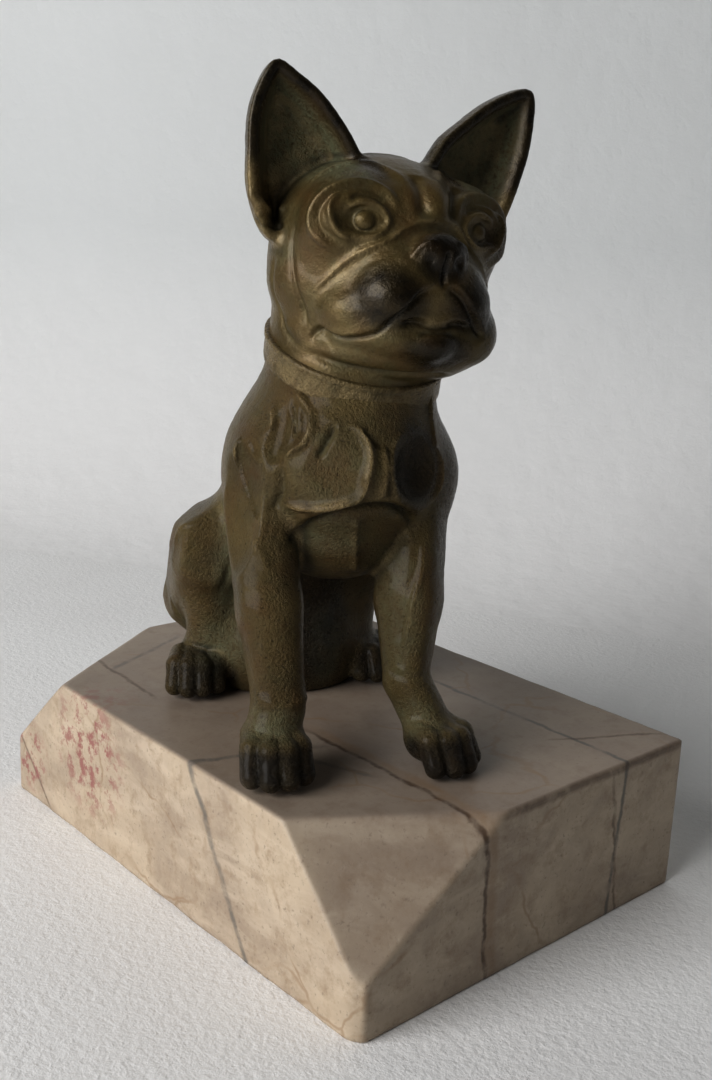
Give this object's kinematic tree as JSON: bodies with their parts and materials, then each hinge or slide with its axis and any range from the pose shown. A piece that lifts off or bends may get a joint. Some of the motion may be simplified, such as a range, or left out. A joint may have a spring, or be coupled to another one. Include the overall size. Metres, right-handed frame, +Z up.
{
  "type": "dog figurine",
  "caption": "Seated French bulldog figurine: hollow patinated bronze castings with a collar, bolted to a marble block with two cut corners. Free-standing ornament.",
  "frame": {"origin": "under the middle of the marble block, on the surface it stands on", "axes": "+Z up, the block's long side along Y; the dog faces -Y, turned about 22 degrees towards -X"},
  "size_m": [0.0796, 0.1116, 0.1434],
  "materials": {
    "marble": "honed, worn, with thin dark veins",
    "bronze_body": "olive-brown patina over cast grain",
    "bronze_head": "olive-brown patina, rubbed glossy on the muzzle",
    "bronze_collar": "olive-brown patina",
    "fixing_steel": "plain, slightly dull"
  },
  "bodies": {
    "root": {"marble_base": "marble", "body_casting": "bronze_body", "head_casting": "bronze_head", "collar_band": "bronze_collar", "neck_pin": "bronze_collar", "stud_right_paw": "fixing_steel", "stud_left_paw": "fixing_steel", "stud_rump": "fixing_steel", "washer_right_paw": "fixing_steel", "washer_left_paw": "fixing_steel", "washer_rump": "fixing_steel", "nut_right_paw": "fixing_steel", "nut_left_paw": "fixing_steel", "nut_rump": "fixing_steel"}
  },
  "joints": []
}
